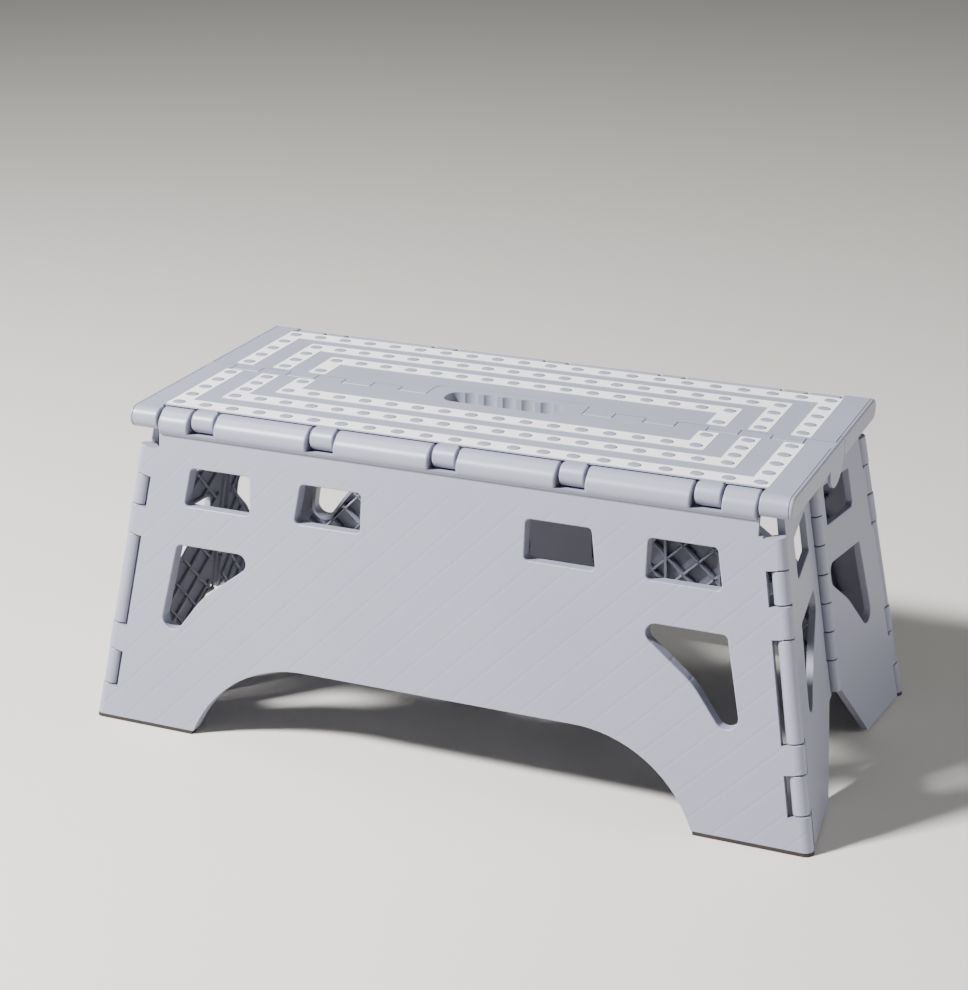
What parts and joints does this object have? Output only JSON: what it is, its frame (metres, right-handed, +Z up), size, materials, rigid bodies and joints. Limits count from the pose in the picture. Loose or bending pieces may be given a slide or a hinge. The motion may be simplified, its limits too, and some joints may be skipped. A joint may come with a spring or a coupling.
{
  "type": "folding step stool",
  "caption": "Low folding step stool with a hinged slotted top, two arched legs and end panels that fold inwards between them.",
  "frame": {"origin": "on the floor, under the middle of the opened stool", "axes": "+X along the length of the top, -Y towards the front leg, +Z up"},
  "size_m": [0.507, 0.253, 0.222],
  "materials": {
    "body_grey": "fine grained satin moulding",
    "grip_white": "soft matt inlay",
    "foot_rubber": "matt",
    "pin_steel": "plain drawn wire"
  },
  "bodies": {
    "front_leg": {"leg_front": "body_grey", "foot_front_right": "foot_rubber", "foot_front_left": "foot_rubber"},
    "front_top": {"top_front": "body_grey", "grip_front_outer": "grip_white", "grip_front_middle": "grip_white", "grip_front_inner": "grip_white", "centre_pin_right": "pin_steel", "centre_pin_left": "pin_steel"},
    "rear_top": {"top_rear": "body_grey", "grip_rear_outer": "grip_white", "grip_rear_middle": "grip_white", "grip_rear_inner": "grip_white"},
    "rear_leg": {"leg_rear": "body_grey", "foot_rear_right": "foot_rubber", "foot_rear_left": "foot_rubber"},
    "right_front_end": {"end_right_front": "body_grey", "end_pin_right": "pin_steel"},
    "right_rear_end": {"end_right_rear": "body_grey"},
    "left_front_end": {"end_left_front": "body_grey"},
    "left_rear_end": {"end_left_rear": "body_grey", "end_pin_left": "pin_steel"}
  },
  "joints": [
    {"name": "fold", "type": "hinge", "parent": "front_top", "child": "rear_top", "pos_m": [0, 0, 0.213], "axis": [-1, 0, 0], "range_deg": [0, 156]},
    {"name": "front_leg_hinge", "type": "hinge", "parent": "front_leg", "child": "front_top", "pos_m": [0, -0.096, 0.2145], "axis": [1, 0, 0], "range_deg": [0, 73]},
    {"name": "rear_leg_hinge", "type": "hinge", "parent": "rear_top", "child": "rear_leg", "pos_m": [0, 0.096, 0.2145], "axis": [1, 0, 0], "range_deg": [0, 73]},
    {"name": "right_front_end_hinge", "type": "hinge", "parent": "front_leg", "child": "right_front_end", "pos_m": [0.2308, -0.10924, 0.09935], "axis": [-0.1658, 0.1127, 0.9797], "range_deg": [0, 75.2]},
    {"name": "left_front_end_hinge", "type": "hinge", "parent": "front_leg", "child": "left_front_end", "pos_m": [-0.2308, -0.10924, 0.09935], "axis": [-0.1658, -0.1127, -0.9797], "range_deg": [0, 75.2]},
    {"name": "right_rear_end_hinge", "type": "hinge", "parent": "rear_leg", "child": "right_rear_end", "pos_m": [0.2308, 0.10924, 0.09935], "axis": [0.1658, 0.1127, -0.9797], "range_deg": [0, 75.2]},
    {"name": "left_rear_end_hinge", "type": "hinge", "parent": "rear_leg", "child": "left_rear_end", "pos_m": [-0.2308, 0.10924, 0.09935], "axis": [0.1658, -0.1127, 0.9797], "range_deg": [0, 75.2]}
  ],
  "couplings": [
    {"joint": "front_leg_hinge", "follows": "fold", "ratio": 0.46745},
    {"joint": "rear_leg_hinge", "follows": "fold", "ratio": 0.46745},
    {"joint": "right_front_end_hinge", "follows": "fold", "ratio": 0.4812},
    {"joint": "left_front_end_hinge", "follows": "fold", "ratio": 0.4812},
    {"joint": "right_rear_end_hinge", "follows": "fold", "ratio": 0.4812},
    {"joint": "left_rear_end_hinge", "follows": "fold", "ratio": 0.4812}
  ]
}
